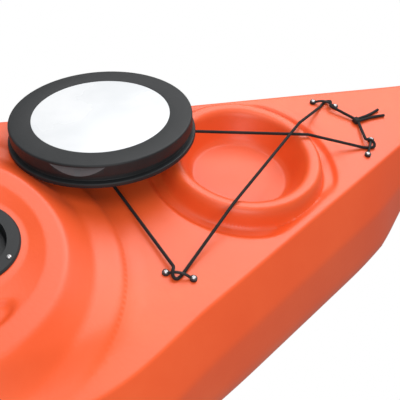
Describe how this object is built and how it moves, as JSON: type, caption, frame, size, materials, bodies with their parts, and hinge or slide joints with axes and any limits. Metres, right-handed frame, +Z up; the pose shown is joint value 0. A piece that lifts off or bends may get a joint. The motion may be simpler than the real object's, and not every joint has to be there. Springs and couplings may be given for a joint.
{
  "type": "fishing kayak",
  "caption": "Small sit-in fishing kayak with a moulded tackle well under a press-on round lid, a round deck hatch, shock-cord rigging, seat, foot braces and rod holders.",
  "frame": {"origin": "on the keel, below the middle of the boat", "axes": "+X to the stern tip, +Y to the boat's left-hand side as the paddler faces the bow, +Z up"},
  "size_m": [3.201, 0.821, 0.5198],
  "materials": {
    "hull_plastic": "rotomoulded polythene, satin orange",
    "black_plastic": "lightly textured black nylon or ABS",
    "white_disc": "smooth white sheet",
    "steel": "stainless steel",
    "cord": "woven black sheath",
    "rubber": "soft black rubber",
    "foam": "closed-cell foam, dark grey",
    "seat_cloth": "padded black cloth",
    "alloy": "anodised"
  },
  "bodies": {
    "hull": {"hull": "hull_plastic", "hatch_gasket": "rubber", "hatch_collar": "black_plastic", "hatch_collar_screws": "steel", "deck_eyes": "black_plastic", "deck_eye_screws": "steel", "shock_cord": "cord", "shock_cord_knot": "cord", "shock_cord_tails": "cord", "seat_base": "foam", "seat_pan": "black_plastic", "seat_pad": "seat_cloth", "foot_rail_right": "alloy", "foot_rail_left": "alloy", "foot_rail_screws": "steel", "rod_holder_right": "black_plastic", "rod_holder_left": "black_plastic", "rod_holder_screws": "steel", "swivel_base": "black_plastic", "swivel_base_screws": "steel"},
    "lid": {"lid_cap": "black_plastic", "lid_skirt": "black_plastic", "lid_liner": "rubber", "lid_disc": "white_disc"},
    "hatch_plate": {"hatch_plate": "black_plastic", "hatch_plate_seal": "rubber"},
    "backrest": {"backrest_frame": "black_plastic", "backrest_pin": "steel", "backrest_pad": "seat_cloth"},
    "pedal_right": {"foot_pedal_right": "black_plastic"},
    "pedal_left": {"foot_pedal_left": "black_plastic"},
    "swivel_post": {"swivel_post": "black_plastic", "swivel_bolt": "black_plastic"},
    "rod_cradle": {"rod_cradle": "black_plastic"},
    "bow_toggle": {"bow_toggle_rope": "cord"},
    "bow_grip": {"bow_toggle_grip": "black_plastic"},
    "stern_toggle": {"stern_toggle_rope": "cord"},
    "stern_grip": {"stern_toggle_grip": "black_plastic"},
    "drain_plug": {"drain_plug": "black_plastic"}
  },
  "joints": [
    {"name": "lid_lift", "type": "slide", "parent": "hull", "child": "lid", "axis": [0, 0, 1], "range_m": [0, 0.3]},
    {"name": "hatch_plate_lift", "type": "slide", "parent": "hull", "child": "hatch_plate", "axis": [0, 0, 1], "range_m": [0, 0.15]},
    {"name": "backrest_fold", "type": "hinge", "parent": "hull", "child": "backrest", "pos_m": [-0.275, 0, 0.092], "axis": [0, 1, 0], "range_deg": [-50, 0]},
    {"name": "pedal_right_slide", "type": "slide", "parent": "hull", "child": "pedal_right", "axis": [0.9598, 0.2805, 0], "range_m": [-0.01, 0.17]},
    {"name": "pedal_left_slide", "type": "slide", "parent": "hull", "child": "pedal_left", "axis": [0.9598, -0.2805, 0], "range_m": [-0.01, 0.17]},
    {"name": "rod_post_turn", "type": "hinge", "parent": "hull", "child": "swivel_post", "pos_m": [-1.265, 0, 0.324], "axis": [0, 0, 1], "continuous": true},
    {"name": "rod_cradle_tilt", "type": "hinge", "parent": "swivel_post", "child": "rod_cradle", "pos_m": [-1.265, 0, 0.398], "axis": [0, 1, 0], "range_deg": [-38, 12]},
    {"name": "bow_toggle_swing", "type": "hinge", "parent": "hull", "child": "bow_toggle", "pos_m": [-1.537, 0, 0.31209], "axis": [0, 1, 0], "range_deg": [0, 110]},
    {"name": "bow_grip_spin", "type": "hinge", "parent": "bow_toggle", "child": "bow_grip", "pos_m": [-1.5885, 0, 0.2562], "axis": [0, 1, 0], "continuous": true},
    {"name": "stern_toggle_swing", "type": "hinge", "parent": "hull", "child": "stern_toggle", "pos_m": [1.537, 0, 0.29296], "axis": [0, 1, 0], "range_deg": [-110, 0]},
    {"name": "stern_grip_spin", "type": "hinge", "parent": "stern_toggle", "child": "stern_grip", "pos_m": [1.5885, 0, 0.23707], "axis": [0, 1, 0], "continuous": true},
    {"name": "drain_plug_turn", "type": "hinge", "parent": "hull", "child": "drain_plug", "pos_m": [1.445, 0, 0.3138], "axis": [0, 0, 1], "range_deg": [0, 360]}
  ]
}
